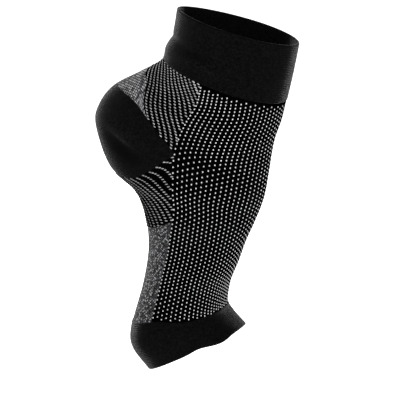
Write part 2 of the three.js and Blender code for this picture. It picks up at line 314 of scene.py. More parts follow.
class SleeveColours(bpy.types.PropertyGroup):
    """Colours of the yarns and the floor"""

    black_yarn: colour_property("Black yarn", "Nylon of the welts and the heel", "#020202")
    # Painted highlight: a paler black for the raised legs of the knit's stitches, standing in for the light
    # that they catch.
    raised_black: colour_property("Raised black", "The same nylon where stitches catch light", "#171719")
    ground_black: colour_property("Ground black", "Elastane ground between the pale stitches", "#020202")
    pale_yarn: colour_property("Pale yarn", "Nylon of the dots and rib stitches", "#d2d2d4")
    fleck_dark: colour_property("Dark fleck", "Darkest fleck of the grey knit", "#060607")
    fleck_grey: colour_property("Grey fleck", "Middle fleck of the grey knit", "#404042")
    fleck_pale: colour_property("Pale fleck", "Palest fleck of the grey knit", "#a6a6a8")
    paper: colour_property("Paper", "Seamless paper of the floor", "#ffffff")


# Shape of the tube

def smooth_between(values, at):
    """Values between the whole steps of a column, on a Catmull-Rom spline."""
    first = 2 * values[0] - values[1]
    last = 2 * values[-1] - values[-2]
    padded = np.concatenate(([first], values, [last]))
    start = np.clip(np.floor(at).astype(int), 0, len(values) - 2)
    t = at - start
    before, near, far, after = (padded[start + step] for step in range(4))
    slope = far - before
    bend = 2 * before - 5 * near + 4 * far - after
    twist = 3 * near - before - 3 * far + after
    return 0.5 * (2 * near + slope * t + bend * t ** 2 + twist * t ** 3)


def signed_power(value, power):
    return np.sign(value) * np.abs(value) ** power


def tube_point(station, around):
    """The smooth tube, before its dents and swellings."""
    size = {column: smooth_between(values, station) for column, values in SECTION.items()}
    run_x = size["front_x"] - size["back_x"]
    run_z = size["front_z"] - size["back_z"]
    depth = np.hypot(run_x, run_z)
    across_x = run_x / depth
    across_z = run_z / depth
    angle = np.radians(around)
    forward = np.cos(angle)
    is_front = forward >= 0
    power = 2 / np.where(is_front, size["front_round"], size["back_round"])
    reach = depth * np.where(is_front, 1 - size["belly"], size["belly"])
    crest = signed_power(forward, power)
    flank = signed_power(np.sin(angle), power)
    along = size["belly"] * depth + reach * crest
    toeward = -size["skew"] * flank
    x = size["back_x"] + across_x * along + across_z * toeward
    y = size["half_width"] * flank + size["ridge"] * np.maximum(crest, 0) ** 2
    z = size["back_z"] + across_z * along - across_x * toeward
    return np.stack((x, y, z), axis=-1)


def unit(vectors):
    return vectors / np.linalg.norm(vectors, axis=-1, keepdims=True)


def along_tube(station, around):
    return tube_point(station + NORMAL_STEP, around) - tube_point(station - NORMAL_STEP, around)


def round_tube(station, around):
    turn = math.degrees(NORMAL_STEP)
    return tube_point(station, around + turn) - tube_point(station, around - turn)


def tube_normal(station, around):
    return unit(np.cross(along_tube(station, around), round_tube(station, around)))


def relief_height(station, around):
    """Height of the dents and swellings that the solids have too."""
    height = np.zeros(np.shape(station))
    for dent in RELIEF:
        turn = (around - dent["around"] + 180) % 360 - 180
        stations = (station - dent["station"]) / dent["spread_stations"]
        degrees = turn / dent["spread_degrees"]
        height += dent["height"] * np.exp(-stations ** 2 - degrees ** 2)
    return height


def fold_height(points):
    """Height of the soft folds, on the inner side alone. Each fades out at both ends."""
    height = np.zeros(points.shape[:-1])
    for fold in FOLDS:
        start = np.array((fold["start_x"], fold["start_z"]))
        run = np.array((fold["end_x"], fold["end_z"])) - start
        seen = points[..., [0, 2]] - start
        share = np.clip(seen @ run / (run @ run), 0, 1)
        away = seen - share[..., None] * run
        is_above = away[..., 1] > 0
        spread = np.where(is_above, fold["spread_above"], fold["spread_below"])
        distance = np.linalg.norm(away, axis=-1) / spread
        height += fold["height"] * np.sin(math.pi * share) * np.exp(-distance ** 2)
    return np.where(points[..., 1] < 0, height, 0)


def wall_point(places, lift):
    """Points of the worn tube, lifted off its outer face. Places hold degrees round and a station."""
    around = places[..., 0]
    station = places[..., 1]
    smooth = tube_point(station, around)
    height = relief_height(station, around) + fold_height(smooth) + lift
    return smooth + tube_normal(station, around) * height[..., None]


# Zones of the tube

def level_edge(station):
    """An edge that stays at one station all the way round."""
    return lambda around: np.full(around.shape, station)


def band_start(around):
    """The station where the band starts, at some degrees round."""
    share = (np.abs(around) - BAND_SWING_FRONT) / (BAND_SWING_SIDE - BAND_SWING_FRONT)
    share = np.clip(share, 0, 1)
    swing = 1 - share ** 2 * (3 - 2 * share)
    return BAND_EDGE + (BAND_FRONT_EDGE - BAND_EDGE) * swing


def rim_station(around):
    """The station of the toe end's wavy rim, at some degrees round."""
    station = np.full(around.shape, float(LAST_STATION))
    for wave in RIM_WAVES:
        turn = (np.abs(around) - wave["around"]) / wave["spread_degrees"]
        station += wave["stations"] * np.exp(-turn ** 2)
    return station


def seam_places(name, steps):
    """Places along a seam, spread evenly in the parameter of its Catmull-Rom curve."""
    points = np.array(SEAMS[name], float)
    spans = len(points) - 1
    at = np.linspace(0, spans, steps + 1)
    start = np.minimum(at.astype(int), spans - 1)
    t = (at - start)[:, None]
    before = points[np.maximum(start - 1, 0)]
    near = points[start]
    far = points[start + 1]
    after = points[np.minimum(start + 2, spans)]
    leave = (far - before) / 2
    arrive = (after - near) / 2
    cubic = 2 * near - 2 * far + leave + arrive
    square = 3 * far - 3 * near - 2 * leave - arrive
    return cubic * t ** 3 + square * t ** 2 + leave * t + near


def join_places(*stretches):
    """Seam stretches end to end, without repeating the place that they share."""
    return np.concatenate([stretches[0]] + [stretch[1:] for stretch in stretches[1:]])


def back_zone(top, bottom, side):
    """A Coons patch from a side seam to the back line, and its mirror image."""
    inward = np.linspace(0, 1, len(top))[None, :, None]
    down = np.linspace(0, 1, len(side))[:, None, None]
    ruled = top[None] * (1 - down) + bottom[None] * down
    back = top[-1] * (1 - down) + bottom[-1] * down
    swept = side[:, None] * (1 - inward) + back * inward
    corner_top = top[0] * (1 - inward) + top[-1] * inward
    corner_bottom = bottom[0] * (1 - inward) + bottom[-1] * inward
    half = ruled + swept - corner_top * (1 - down) - corner_bottom * down
    mirrored = half[:, -2::-1] * (-1, 1) + (360, 0)
    return np.concatenate((half, mirrored), axis=1)


def front_zone(side):
    """The zone over the front: each row runs at one station from side to side, and swings near the band."""
    share = np.linspace(-1, 1, INSTEP_COLUMNS + 1)
    around = side[:, None, 0] * share
    near = np.maximum(side[:, None, 1] - BAND_SWING_TOP, 0) / (BAND_EDGE - BAND_SWING_TOP)
    station = side[:, None, 1] + (band_start(around) - BAND_EDGE) * near ** 2
    return np.stack((around, station), axis=-1)


def side_places():
    """The whole side seam, from the cuff to the band."""
    return join_places(
        seam_places("upper_side", ANKLE_RIB_ROWS),
        seam_places("heel_tip", HEEL_TIP_ROWS),
        seam_places("middle_side", ARCH_RIB_ROWS),
        seam_places("lower_side", ARCH_ROWS),
    )


def degrees_from_front(around):
    """Degrees round to a place on either side, from the front line."""
    return 180 - np.abs(around - 180)


def running_length(points, axis):
    """Length along a grid of points, from its first row or column."""
    steps = np.linalg.norm(np.diff(points, axis=axis), axis=-1)
    return np.insert(np.cumsum(steps, axis=axis), 0, 0, axis=axis)


def edge_fade(shape):
    """Rises from 0 at a grid's edges to 1 a few steps in, so that zones meet at one height."""
    fades = []
    for count in shape:
        steps = np.arange(count)
        fades.append(np.clip(np.minimum(steps, count - 1 - steps) / EDGE_STEPS, 0, 1))
    rows, columns = fades
    return rows[:, None] * columns[None, :]


# Meshes

def grid_quads(index):
    corners = (index[:-1, :-1], index[1:, :-1], index[1:, 1:], index[:-1, 1:])
    return np.stack(corners, axis=-1).reshape(-1, 4)


def finish_mesh(name, points, faces, corner_map=None):
    """A smooth object from points in millimetres, with the knit's own map in millimetres."""
    mesh = bpy.data.meshes.new(name)
    mesh.from_pydata((points * MM).tolist(), [], [list(face) for face in faces])
    if corner_map is not None:
        layer = mesh.uv_layers.new(name=KNIT_MAP)
        layer.uv.foreach_set("vector", corner_map.astype(np.float32).ravel())
    mesh.shade_smooth()
    mesh.set_sharp_from_angle(angle=SHARP_EDGE)
    mesh.validate()
    piece = bpy.data.objects.new(name, mesh)
    bpy.context.scene.collection.objects.link(piece)
    return piece


def add_attribute(piece, name, values):
    """A value at each point of a piece, for its material."""
    layer = piece.data.attributes.new(name, "FLOAT", "POINT")
    layer.data.foreach_set("value", values.astype(np.float32).ravel())


def wall_piece(name, places, relief, wall):
    """A closed wall over a grid of places: an outer face with relief, an inner face and its rims."""
    outer_points = wall_point(places, relief)
    inner_points = wall_point(places, np.full(places.shape[:2], -wall))
    outer = np.arange(places[..., 0].size).reshape(places.shape[:2])
    inner = outer + outer.size
    faces = np.concatenate((
        grid_quads(outer),
        grid_quads(inner)[:, ::-1],
        grid_quads(np.stack((inner[0], outer[0]))),
        grid_quads(np.stack((outer[-1], inner[-1]))),
        grid_quads(np.stack((outer[:, 0], inner[:, 0]))),
        grid_quads(np.stack((inner[:, -1], outer[:, -1]))),
    ))
    smooth = wall_point(places, np.zeros(places.shape[:2]))
    across = running_length(smooth, 1)
    middle = places.shape[1] // 2
    across = across - across[:, [middle]]
    along = running_length(smooth, 0)
    knit = np.stack((across, along), axis=-1).reshape(-1, 2)
    knit = np.concatenate((knit, knit))
    points = np.concatenate((outer_points.reshape(-1, 3), inner_points.reshape(-1, 3)))
    piece = finish_mesh(name, points, faces, knit[faces.ravel()])
    # The fold's height, kept for the painted light and shade of the black knit.
    add_attribute(piece, FOLD_SHADE, fold_height(points))
    return piece


def welt_piece(name, edges, rows, station_length, lift, wall):
    """A doubled ring between two edges, as one closed loop with round rims turned all the way round."""
    radius = wall / 2
    inset = radius / station_length
    turn = np.linspace(0, math.pi, RIM_STEPS + 1)[1:-1]
    run = np.linspace(0, 1, rows)
    level = np.zeros(rows)
    share = np.concatenate((run, np.ones(turn.shape), run[::-1], np.zeros(turn.shape)))
    push = np.concatenate((level, np.sin(turn), level, -np.sin(turn)))
    height = np.concatenate((level + 1, np.cos(turn), level - 1, -np.cos(turn)))
    around = np.linspace(-180, 180, RING_COLUMNS + 1)
    first, last = (edge(around) for edge in edges)
    station = first + inset + (last - first - 2 * inset) * share[:, None] + inset * push[:, None]
    places = np.stack(np.broadcast_arrays(around, station), axis=-1)
    loop = len(share)
    lifts = np.repeat((lift - radius + radius * height)[:, None], RING_COLUMNS, axis=1)
    points = wall_point(places[:, :-1], lifts)
    spread = np.arange((loop + 1) * (RING_COLUMNS + 1)).reshape(loop + 1, RING_COLUMNS + 1)
    row, column = np.divmod(grid_quads(spread), RING_COLUMNS + 1)
    faces = (row % loop) * RING_COLUMNS + column % RING_COLUMNS
    girth = running_length(points, 1)[0, -1] * RING_COLUMNS / (RING_COLUMNS - 1)
    travel = running_length(places[:, [0], 1:] * station_length, 0)[:, 0]
    travel = np.append(travel, travel[-1] + inset * station_length)
    knit = np.stack((column / RING_COLUMNS * girth, travel[row]), axis=-1)
    piece = finish_mesh(name, points.reshape(-1, 3), faces, knit.reshape(-1, 2))
    # The fold's height, kept for the painted light and shade of the black knit.
    add_attribute(piece, FOLD_SHADE, fold_height(points))
    return piece


# Raised stitches

# One stitch of unit size: the sides and rings of its mesh, its groove, how far its foot sinks in, and how
# much of its length, width and height it reaches from its middle.
STITCH_SIDES = 10
STITCH_RINGS = ((0.5, 0.88), (0.84, 0.55), (1.0, 0.0))
STITCH_GROOVE = 0.3
STITCH_GROOVE_WIDTH = 0.3
STITCH_SINK = -0.4
STITCH_REACH = (0.5, 0.5, 1.0)


def stitch_form():
    """One closed stitch of unit size: a bean with a groove along it, like a pulled loop of yarn."""
    turn = np.arange(STITCH_SIDES) * 2 * math.pi / STITCH_SIDES
    points = [(0, 0, 1 - STITCH_GROOVE)]
    for radius, height in STITCH_RINGS:
        for angle in turn:
            aside = math.sin(angle) * radius / STITCH_GROOVE_WIDTH
            groove = STITCH_GROOVE * math.exp(-aside ** 2) * (1 - radius ** 2)
            points.append((radius * math.cos(angle), radius * math.sin(angle), height - groove))
    points.append((0, 0, STITCH_SINK))
    rings = 1 + np.arange(len(STITCH_RINGS) * STITCH_SIDES).reshape(-1, STITCH_SIDES)
    nexts = np.roll(rings, -1, axis=1)
    faces = []
    for side in range(STITCH_SIDES):
        faces.append((0, rings[0, side], nexts[0, side]))
        faces.append((len(points) - 1, nexts[-1, side], rings[-1, side]))
        for high in range(len(STITCH_RINGS) - 1):
            low = high + 1
            faces.append((rings[high, side], rings[low, side], nexts[low, side]))
            faces.append((rings[high, side], nexts[low, side], nexts[high, side]))
    return np.array(points), np.array(faces)


def stitch_piece(name, places, directions, lift, size, tones, tail_fade):
    """Many stitches as one joined mesh. Each points along its direction and is darker at its tail end.
    size holds length, width and height, once or for each stitch."""
    form, form_faces = stitch_form()
    centres = wall_point(places, np.full(len(places), lift))
    normals = tube_normal(places[:, 1], places[:, 0])
    flat = unit(directions - normals * np.sum(directions * normals, axis=1, keepdims=True))
    sideways = np.cross(normals, flat)
    half = form * np.reshape(size * np.array(STITCH_REACH), (-1, 1, 3))
    points = (
        centres[:, None]
        + half[..., [0]] * flat[:, None]
        + half[..., [1]] * sideways[:, None]
        + half[..., [2]] * normals[:, None]
    )
    faces = form_faces[None] + (np.arange(len(centres)) * len(form))[:, None, None]
    piece = finish_mesh(name, points.reshape(-1, 3), faces.reshape(-1, 3))
    add_attribute(piece, TONE, tones[:, None] * (1 - tail_fade * (1 - form[:, 0]) / 2))
    return piece


def stitch_tones(name, count):
    """A tone for each stitch, from the range that its kind has."""
    rng = np.random.default_rng(WANDER_SEED)
    return rng.uniform(TONES[name]["low"], TONES[name]["high"], count)


def backward(places):
    """Rises from 0 at the sides to 1 some way before the back line."""
    return np.clip((degrees_from_front(places[:, 0]) - BACK_FROM) / (BACK_FULL - BACK_FROM), 0, 1)


def wale_number(places):
    """Which wale of dots each place lies on, counted from its own side seam. Rows run from seam to seam."""
    length = running_length(wall_point(places, np.zeros(places.shape[:2])), 1)
    front = length[:, [places.shape[1] // 2]]
    whole = length[:, [-1]]
    share = np.where(length < front, length / front, (whole - length) / (whole - front))
    crowd = np.interp(places[..., 1], CROWD_STATIONS, CROWDING)
    return WALES * (share + crowd * share * (1 - share))


def course_station(course, around):
    """The station that a course of dots runs through, at some degrees round."""
    front, side = (smooth_between(values, course / COURSES_A_ROW) for values in COURSE.values())
    return front + (side - front) * (np.abs(around) / COURSE_SIDE) ** COURSE_BEND


def dot_places(places, number):
    """Places of the dots, where wales cross courses: even wales on whole courses, odd ones half way."""
    middle = places.shape[1] // 2
    last_course = COURSES_A_ROW * (len(COURSE["front"]) - 1)
    found = []
    for half in (slice(0, middle + 1), slice(None, middle - 1, -1)):
        is_first_side = half.start == 0
        for wale in range(int(WALES) + is_first_side):
            rows = zip(number[:, half], places[:, half])
            at = wale + FIRST_WALE
            path = np.array([
                [np.interp(at, count, row[:, axis]) for axis in (0, 1)] for count, row in rows
            ])
            for half_course in range(wale % 2, 2 * last_course, 2):
                ahead = path[:, 1] - course_station(half_course / 2, path[:, 0])
                if ahead[0] > -COURSE_MARGIN or ahead[-1] < COURSE_MARGIN:
                    continue
                found.append([np.interp(0, ahead, path[:, axis]) for axis in (0, 1)])
    return np.array(found)


def ankle_rib_number(places):
    """Which rib behind the ankle each place lies on."""
    away = degrees_from_front(places[..., 0])
    level = away - np.maximum(away - ANKLE_EASE_FROM, 0) ** 2 / ANKLE_EASE_SPAN
    down = places[..., 1] - CUFF_EDGE
    level = level + ANKLE_RIB_FAN * (away - ANKLE_FAN_MIDDLE) * down
    for power, gain in enumerate(ANKLE_RIB_GAINS, 1):
        level = level + gain * down ** power
    return (level - ANKLE_RIB_FIRST) / ANKLE_RIB_STEP


def arch_rib_number(places):
    """Which rib under the heel each place lies on."""
    away = degrees_from_front(places[..., 0])
    heel = seam_places("heel_bottom", SEAM_STEPS)
    below = np.maximum(places[..., 1] - np.interp(away, heel[:, 0], heel[:, 1]), 0)
    level = 180 - np.hypot(180 - away, ARCH_SOLE_ROUND)
    level = level + ARCH_RIB_GAIN * (places[..., 1] - ARCH_RIB_STATION)
    level = level - ARCH_HOOK * np.exp(-below / ARCH_HOOK_SPREAD)
    return (level - ARCH_RIB_FIRST) / ARCH_RIB_STEP


def rib_relief(number, height):
    """Round ribs with narrow grooves between them."""
    return height * (np.abs(np.cos(math.pi * number)) - WAVE_MIDDLE) * edge_fade(number.shape)


def rib_lines(places, number):
    """Places along each rib, where a zone's grid crosses its whole number, sorted and cut at gaps."""
    lines = []
    for rib in range(math.ceil(number.min()), math.floor(number.max()) + 1):
        found = []
        for axis in (0, 1):
            run = np.moveaxis(number - rib, axis, 0)
            at = np.moveaxis(places, axis, 0)
            crossed = run[:-1] * run[1:] < 0
            before = run[:-1][crossed]
            after = run[1:][crossed]
            share = (before / (before - after))[:, None]
            found.append(at[:-1][crossed] * (1 - share) + at[1:][crossed] * share)
        line = np.concatenate(found)
        line = line[np.argsort(line[:, 0])]
        steps = np.linalg.norm(np.diff(tube_point(line[:, 1], line[:, 0]), axis=0), axis=1)
        cuts = np.nonzero(steps > RIB_BREAK)[0] + 1
        lines += [stretch for stretch in np.split(line, cuts) if len(stretch) >= SHORTEST_RIB]
    return lines


def places_along(line, step):
    """Places spaced evenly along one rib."""
    length = running_length(tube_point(line[:, 1], line[:, 0]), 0)
    at = np.arange(step / 2, length[-1], step)
    return np.stack([np.interp(at, length, line[:, axis]) for axis in (0, 1)], axis=-1)


def course_directions(places, degrees):
    """Directions along the courses towards the front, turned towards the toe end by some degrees."""
    around = places[:, 0]
    station = places[:, 1]
    frontward = np.where(around > 180, 1.0, -1.0)[:, None]
    forward = unit(round_tube(station, around)) * frontward
    toeward = along_tube(station, around)
    toeward = unit(toeward - forward * np.sum(toeward * forward, axis=1, keepdims=True))
    angle = np.radians(degrees)[:, None]
    return forward * np.cos(angle) + toeward * np.sin(angle)


# Materials

MATH = "ShaderNodeMath"

# Finish of each cloth: the shader's own values, then the strength of its bump and its depth in millimetres.
CLOTH_COLUMNS = ("name", "roughness", "specular", "sheen", "bump", "depth")
CLOTHS = keyed_rows(CLOTH_COLUMNS, (
    ("black_nylon_jersey",        0.80, 0.03, 0.30, 0.60, 0.20),
    ("black_elastane_ground",     0.80, 0.00, 0.00, 0.60, 0.20),
    ("space_dyed_nylon_knit",     0.85, 0.05, 0.05, 0.70, 0.25),
    ("black_and_space_dyed_knit", 0.85, 0.05, 0.05, 0.70, 0.25),
    ("pale_nylon_yarn",           0.70, 0.20, 0.05, 0.25, 0.10),
))
SHEEN_ROUGHNESS = 0.15

# Speckled knits: a stitch's width and height in millimetres, drawn coarse to show, how far the stitches
# take turns of dark and pale rather than by chance, and the shares of stitches up to dark and up to grey.
SPECKLE_COLUMNS = ("name", "width", "height", "turns", "dark", "grey")
SPECKLES = keyed_rows(SPECKLE_COLUMNS, (
    ("space_dyed_nylon_knit",     1.5, 1.1, 0.70, 0.15, 0.72),
    ("black_and_space_dyed_knit", 0.8, 0.7, 0.36, 0.30, 0.76),
))

# How far the legs of a V slant, the black knit's patches, and how strongly a fold's height paints light on
# its ridge and shade in its hollow.
STITCH_LEAN = -1.6
MOTTLE_DETAIL = 3.0
MOTTLE_LOW = 0.38
MOTTLE_HIGH = 0.66
FOLD_SHADE_GAIN = 1.6

# Distance between a yarn's filaments and how they wander, and how much the paper is lit up by itself.
FILAMENT = 0.35 * MM
FILAMENT_WANDER = 1.5
PAPER_GLOW = 0.75


def add_node(tree, kind, settings=(), links=()):
    """Adds a node, sets its properties or inputs by name or number, and links nodes or outputs to inputs."""
    node = tree.nodes.new(kind)
    for key, value in dict(settings).items():
        if isinstance(key, str) and hasattr(node, key):
            setattr(node, key, value)
        else:
            node.inputs[key].default_value = value
    for key, source in dict(links).items():
        output = source.outputs[0] if isinstance(source, bpy.types.Node) else source
        tree.links.new(output, node.inputs[key])
    return node


def new_material(name):
    """An empty material and its tree, which has a Principled shader."""
    material = bpy.data.materials.new(name)
    material.use_nodes = True
    return material, material.node_tree


def set_shader(tree, values):
    """Sets the Principled shader's own sockets and gives the shader."""
    shader = tree.nodes["Principled BSDF"]
    for socket, value in values.items():
        shader.inputs[socket].default_value = value
    return shader


def finish_cloth(tree, name, colour, height):
    """Gives a cloth its colour, its bump, and the gloss and fuzz of its yarn."""
    look = CLOTHS[name]
    shader = set_shader(tree, {
        "Roughness": look["roughness"],
        "Specular IOR Level": look["specular"],
        "Sheen Weight": look["sheen"],
        "Sheen Roughness": SHEEN_ROUGHNESS,
    })
    relief = {"Strength": look["bump"], "Distance": look["depth"] * MM}
    bump = add_node(tree, "ShaderNodeBump", relief, {"Height": height})
    tree.links.new(colour, shader.inputs["Base Color"])
    tree.links.new(bump.outputs[0], shader.inputs["Normal"])


def rgba(colour):
    return (*colour, 1.0)


def stitch_height(tree, width, height):
    """Height of plain knit stitches: each wale is a row of Vs whose two legs are round. Also gives the
    counts of wales and courses."""
    knit = add_node(tree, "ShaderNodeUVMap", {"uv_map": KNIT_MAP})
    split = add_node(tree, "ShaderNodeSeparateXYZ", links={0: knit})
    wale = add_node(tree, MATH, {"operation": "DIVIDE", 1: width / MM}, {0: split.outputs[0]})
    course = add_node(tree, MATH, {"operation": "DIVIDE", 1: height / MM}, {0: split.outputs[1]})
    zigzag = add_node(tree, MATH, {"operation": "PINGPONG", 1: 0.5}, {0: wale})
    lean = add_node(tree, MATH, {"operation": "MULTIPLY_ADD", 1: STITCH_LEAN}, {0: zigzag, 2: course})
    beat = add_node(tree, MATH, {"operation": "MULTIPLY", 1: 2 * math.pi}, {0: lean})
    strand = add_node(tree, MATH, {"operation": "SINE"}, {0: beat})
    swing = add_node(tree, MATH, {"operation": "MULTIPLY", 1: 2 * math.pi}, {0: zigzag})
    leg = add_node(tree, MATH, {"operation": "SINE"}, {0: swing})
    lifted = add_node(tree, MATH, {"operation": "MULTIPLY_ADD", 1: 0.5, 2: 0.5}, {0: strand})
    stitch = add_node(tree, MATH, {"operation": "MULTIPLY"}, {0: lifted, 1: leg})
    return stitch, wale, course


def plain_black_knit(name, sizes, dark, highlight):
    """The tree that both black knits share: rows of Vs whose legs, where they stand up, carry a painted
    highlight in fine random patches, with painted light where a fold's ridge rises and painted shade in its
    hollow."""
    material, tree = new_material(name)
    stitch, _, _ = stitch_height(tree, sizes.wale_width, sizes.course_height)
    place = add_node(tree, "ShaderNodeTexCoord")
    mottle = add_node(
        tree, "ShaderNodeTexNoise", {"Scale": 1 / sizes.mottle_size, "Detail": MOTTLE_DETAIL},
        {"Vector": place.outputs["Object"]},
    )
    reach = {"From Min": MOTTLE_LOW, "From Max": MOTTLE_HIGH}
    patch = add_node(tree, "ShaderNodeMapRange", reach, {"Value": mottle})
    # Painted light and shade: a fold's ridge makes the knit paler and its hollow makes it darker.
    stretch = add_node(tree, "ShaderNodeAttribute", {"attribute_name": FOLD_SHADE})
    gain = {"operation": "MULTIPLY_ADD", 1: FOLD_SHADE_GAIN, 2: 1.0}
    fold_shading = add_node(tree, MATH, gain, {0: stretch.outputs["Fac"]})
    # Painted highlight: the raised legs of the Vs are drawn paler, in fine random patches.
    catch = add_node(tree, MATH, {"operation": "MULTIPLY"}, {0: stitch, 1: patch})
    tone = add_node(tree, MATH, {"operation": "MULTIPLY", "use_clamp": True}, {0: catch, 1: fold_shading})
    yarns = {"data_type": "RGBA", 6: rgba(dark), 7: rgba(highlight)}
    colour = add_node(tree, "ShaderNodeMix", yarns, {0: tone})
    finish_cloth(tree, name, colour.outputs[2], stitch)
    return material


def black_nylon_jersey(scene):
    """Black nylon knitted plain and tight: matt and very dark, with a pale edge where its fibre ends
    catch light, and rows of small Vs when seen near."""
    colours = scene.sleeve_colours
    # The second colour is the painted highlight on the raised stitch legs.
    yarns = (colours.black_yarn, colours.raised_black)
    return plain_black_knit("black_nylon_jersey", scene.sleeve_sizes, *yarns)


def black_elastane_ground(scene):
    """Black elastane knitted open, as the ground between pale stitches: it swallows nearly all light."""
    colours = scene.sleeve_colours
    # Here the painted highlight is the plain black yarn, so the raised legs stay dark.
    yarns = (colours.ground_black, colours.black_yarn)
    return plain_black_knit("black_elastane_ground", scene.sleeve_sizes, *yarns)


def speckled_knit(name, colours):
    """The tree that both speckled knits share: a grid of stitches, each of one tone."""
    look = SPECKLES[name]
    material, tree = new_material(name)
    stitch, wale, course = stitch_height(tree, look["width"] * MM, look["height"] * MM)
    column = add_node(tree, MATH, {"operation": "FLOOR"}, {0: wale})
    row = add_node(tree, MATH, {"operation": "FLOOR"}, {0: course})
    cell = add_node(tree, "ShaderNodeCombineXYZ", links={0: column, 1: row})
    chance = add_node(tree, "ShaderNodeTexWhiteNoise", {"noise_dimensions": "2D"}, {"Vector": cell})
    diagonal = add_node(tree, MATH, {"operation": "ADD"}, {0: column, 1: row})
    turns = add_node(tree, MATH, {"operation": "PINGPONG", 1: 1.0}, {0: diagonal})
    share = {"data_type": "FLOAT", 0: look["turns"]}
    fleck = add_node(tree, "ShaderNodeMix", share, {2: chance, 3: turns})
    ramp = add_node(tree, "ShaderNodeValToRGB", links={0: fleck})
    stops = ramp.color_ramp.elements
    stops[0].color = rgba(colours.fleck_dark)
    stops[0].position = look["dark"]
    stops[1].color = rgba(colours.fleck_pale)
    stops[1].position = 1.0
    middle = stops.new(look["grey"])
    middle.color = rgba(colours.fleck_grey)
    finish_cloth(tree, name, ramp.outputs[0], stitch)
    return material


def space_dyed_nylon_knit(scene):
    """Nylon yarn dyed black, grey and white in short lengths: finely speckled like a bird's eye."""
    return speckled_knit("space_dyed_nylon_knit", scene.sleeve_colours)


def black_and_space_dyed_knit(scene):
    """The same yarn knitted with a black one: as finely speckled, but darker."""
    return speckled_knit("black_and_space_dyed_knit", scene.sleeve_colours)


def pale_nylon_yarn(scene):
    """Off-white textured nylon: bright and matt, each stitch a slightly different tone, with fine
    slanting filaments that are drawn coarse enough to show."""
    name = "pale_nylon_yarn"
    colours = scene.sleeve_colours
    material, tree = new_material(name)
    # The tone attribute holds each stitch's own tone and darker tail end, with painted shade towards the
    # back line and the sole.
    tone = add_node(tree, "ShaderNodeAttribute", {"attribute_name": TONE})
    yarns = {"data_type": "RGBA", 6: rgba(colours.fleck_dark), 7: rgba(colours.pale_yarn)}
    colour = add_node(tree, "ShaderNodeMix", yarns, {0: tone.outputs["Fac"]})
    place = add_node(tree, "ShaderNodeTexCoord")
    twist = {"Scale": 1 / (2 * math.pi * FILAMENT), "Distortion": FILAMENT_WANDER}
    filament = add_node(tree, "ShaderNodeTexWave", twist, {"Vector": place.outputs["Object"]})
    finish_cloth(tree, name, colour.outputs[2], filament.outputs["Fac"])
    return material


def seamless_paper(scene):
    """Matt white studio paper, lit to plain white with only a breath of shade under the sleeve."""
    material, tree = new_material("seamless_paper")
    white = rgba(scene.sleeve_colours.paper)
    set_shader(tree, {
        "Base Color": white,
        "Roughness": 1.0,
        "Specular IOR Level": 0.0,
        "Emission Color": white,
        "Emission Strength": PAPER_GLOW,
    })
    return material


def once(make, scene):
    """A material by the name of its maker, made the first time it is asked for."""
    return bpy.data.materials.get(make.__name__) or make(scene)


# Pieces

def settle(piece, material, node=None):
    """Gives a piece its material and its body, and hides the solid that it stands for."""
    piece.data.materials.append(material)
    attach(piece, BODY)
    if node:
        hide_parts(node)
    return piece


def knit_welt(scene, node, edges, rows, station_length):
    """Knits a doubled black welt around one end of the sleeve."""
    proud = scene.sleeve_sizes.welt_proud / MM
    wall = proud + scene.sleeve_sizes.knit_wall / MM
    piece = welt_piece(node + "_welt", edges, rows, station_length, proud, wall)
    settle(piece, once(black_nylon_jersey, scene), node)


def knit_zone(scene, name, node, places, relief, make):
    """Knits a zone's wall with some relief, in the cloth that a material's maker gives."""
    piece = wall_piece(name, places, relief, scene.sleeve_sizes.knit_wall / MM)
    return settle(piece, once(make, scene), node)


def knit_plain_zone(scene, node, places, make):
    """Knits a zone that has no ribs or dots."""
    level = np.zeros(places.shape[:2])
    piece = knit_zone(scene, node + "_knit", node, places, level, make)


def add_stitches(scene, stitches):
    """Gives a zone's pale stitches their yarn and their body."""
    settle(stitches, once(pale_nylon_yarn, scene))


def knit_ribs(scene, kind, places, number, size, lay):
    """Knits a ribbed zone and the pale stitches along its ribs. lay gives their turn, tone and swell."""
    sizes = scene.sleeve_sizes
    zone = kind + "_rib"
    node = zone + "_panel"
    height = sizes.rib_height / MM
    relief = rib_relief(number, height)
    piece = knit_zone(scene, zone + "_knit", node, places, relief, black_elastane_ground)
    step = sizes.rib_stitch_step / MM
    along = np.concatenate([places_along(line, step) for line in rib_lines(places, number)])
    turn, tones, swell = lay(along)
    stitches = stitch_piece(
        zone + "_stitches", along, course_directions(along, turn), height * RIB_SEAT,
        np.array(size) / MM * swell[:, None], tones, TONES[kind]["tail_fade"],
    )
    add_stitches(scene, stitches)


class SLEEVE_OT_ankle_cuff(bpy.types.Operator):
    """Knit the doubled cuff at the ankle end, with its crease, roll and soft fold"""

    bl_idname = "sleeve.ankle_cuff"
    bl_label = "Ankle cuff"

    def execute(self, context):
        edges = (level_edge(0.0), level_edge(CUFF_EDGE))
        knit_welt(context.scene, "ankle_cuff", edges, CUFF_ROWS, CUFF_STATION)
        return {"FINISHED"}


class SLEEVE_OT_forefoot_band(bpy.types.Operator):
    """Knit the doubled band at the toe end, with its wavy rim"""

    bl_idname = "sleeve.forefoot_band"
    bl_label = "Forefoot band"

    def execute(self, context):
        edges = (band_start, rim_station)
        knit_welt(context.scene, "forefoot_band", edges, BAND_ROWS, BAND_STATION)
        return {"FINISHED"}


class SLEEVE_OT_heel_pocket(bpy.types.Operator):
    """Knit the black heel pocket, pointed at each side, with its slanting fold"""

    bl_idname = "sleeve.heel_pocket"
    bl_label = "Heel pocket"

    def execute(self, context):
        shoulder = seam_places("heel_shoulder", SHOULDER_COLUMNS)
        top = join_places(shoulder, seam_places("heel_back", BACK_COLUMNS))
        bottom = seam_places("heel_bottom", SHOULDER_COLUMNS + BACK_COLUMNS)
        places = back_zone(top, bottom, seam_places("heel_tip", HEEL_ROWS))
        knit_plain_zone(context.scene, "heel_pocket", places, black_nylon_jersey)
        return {"FINISHED"}


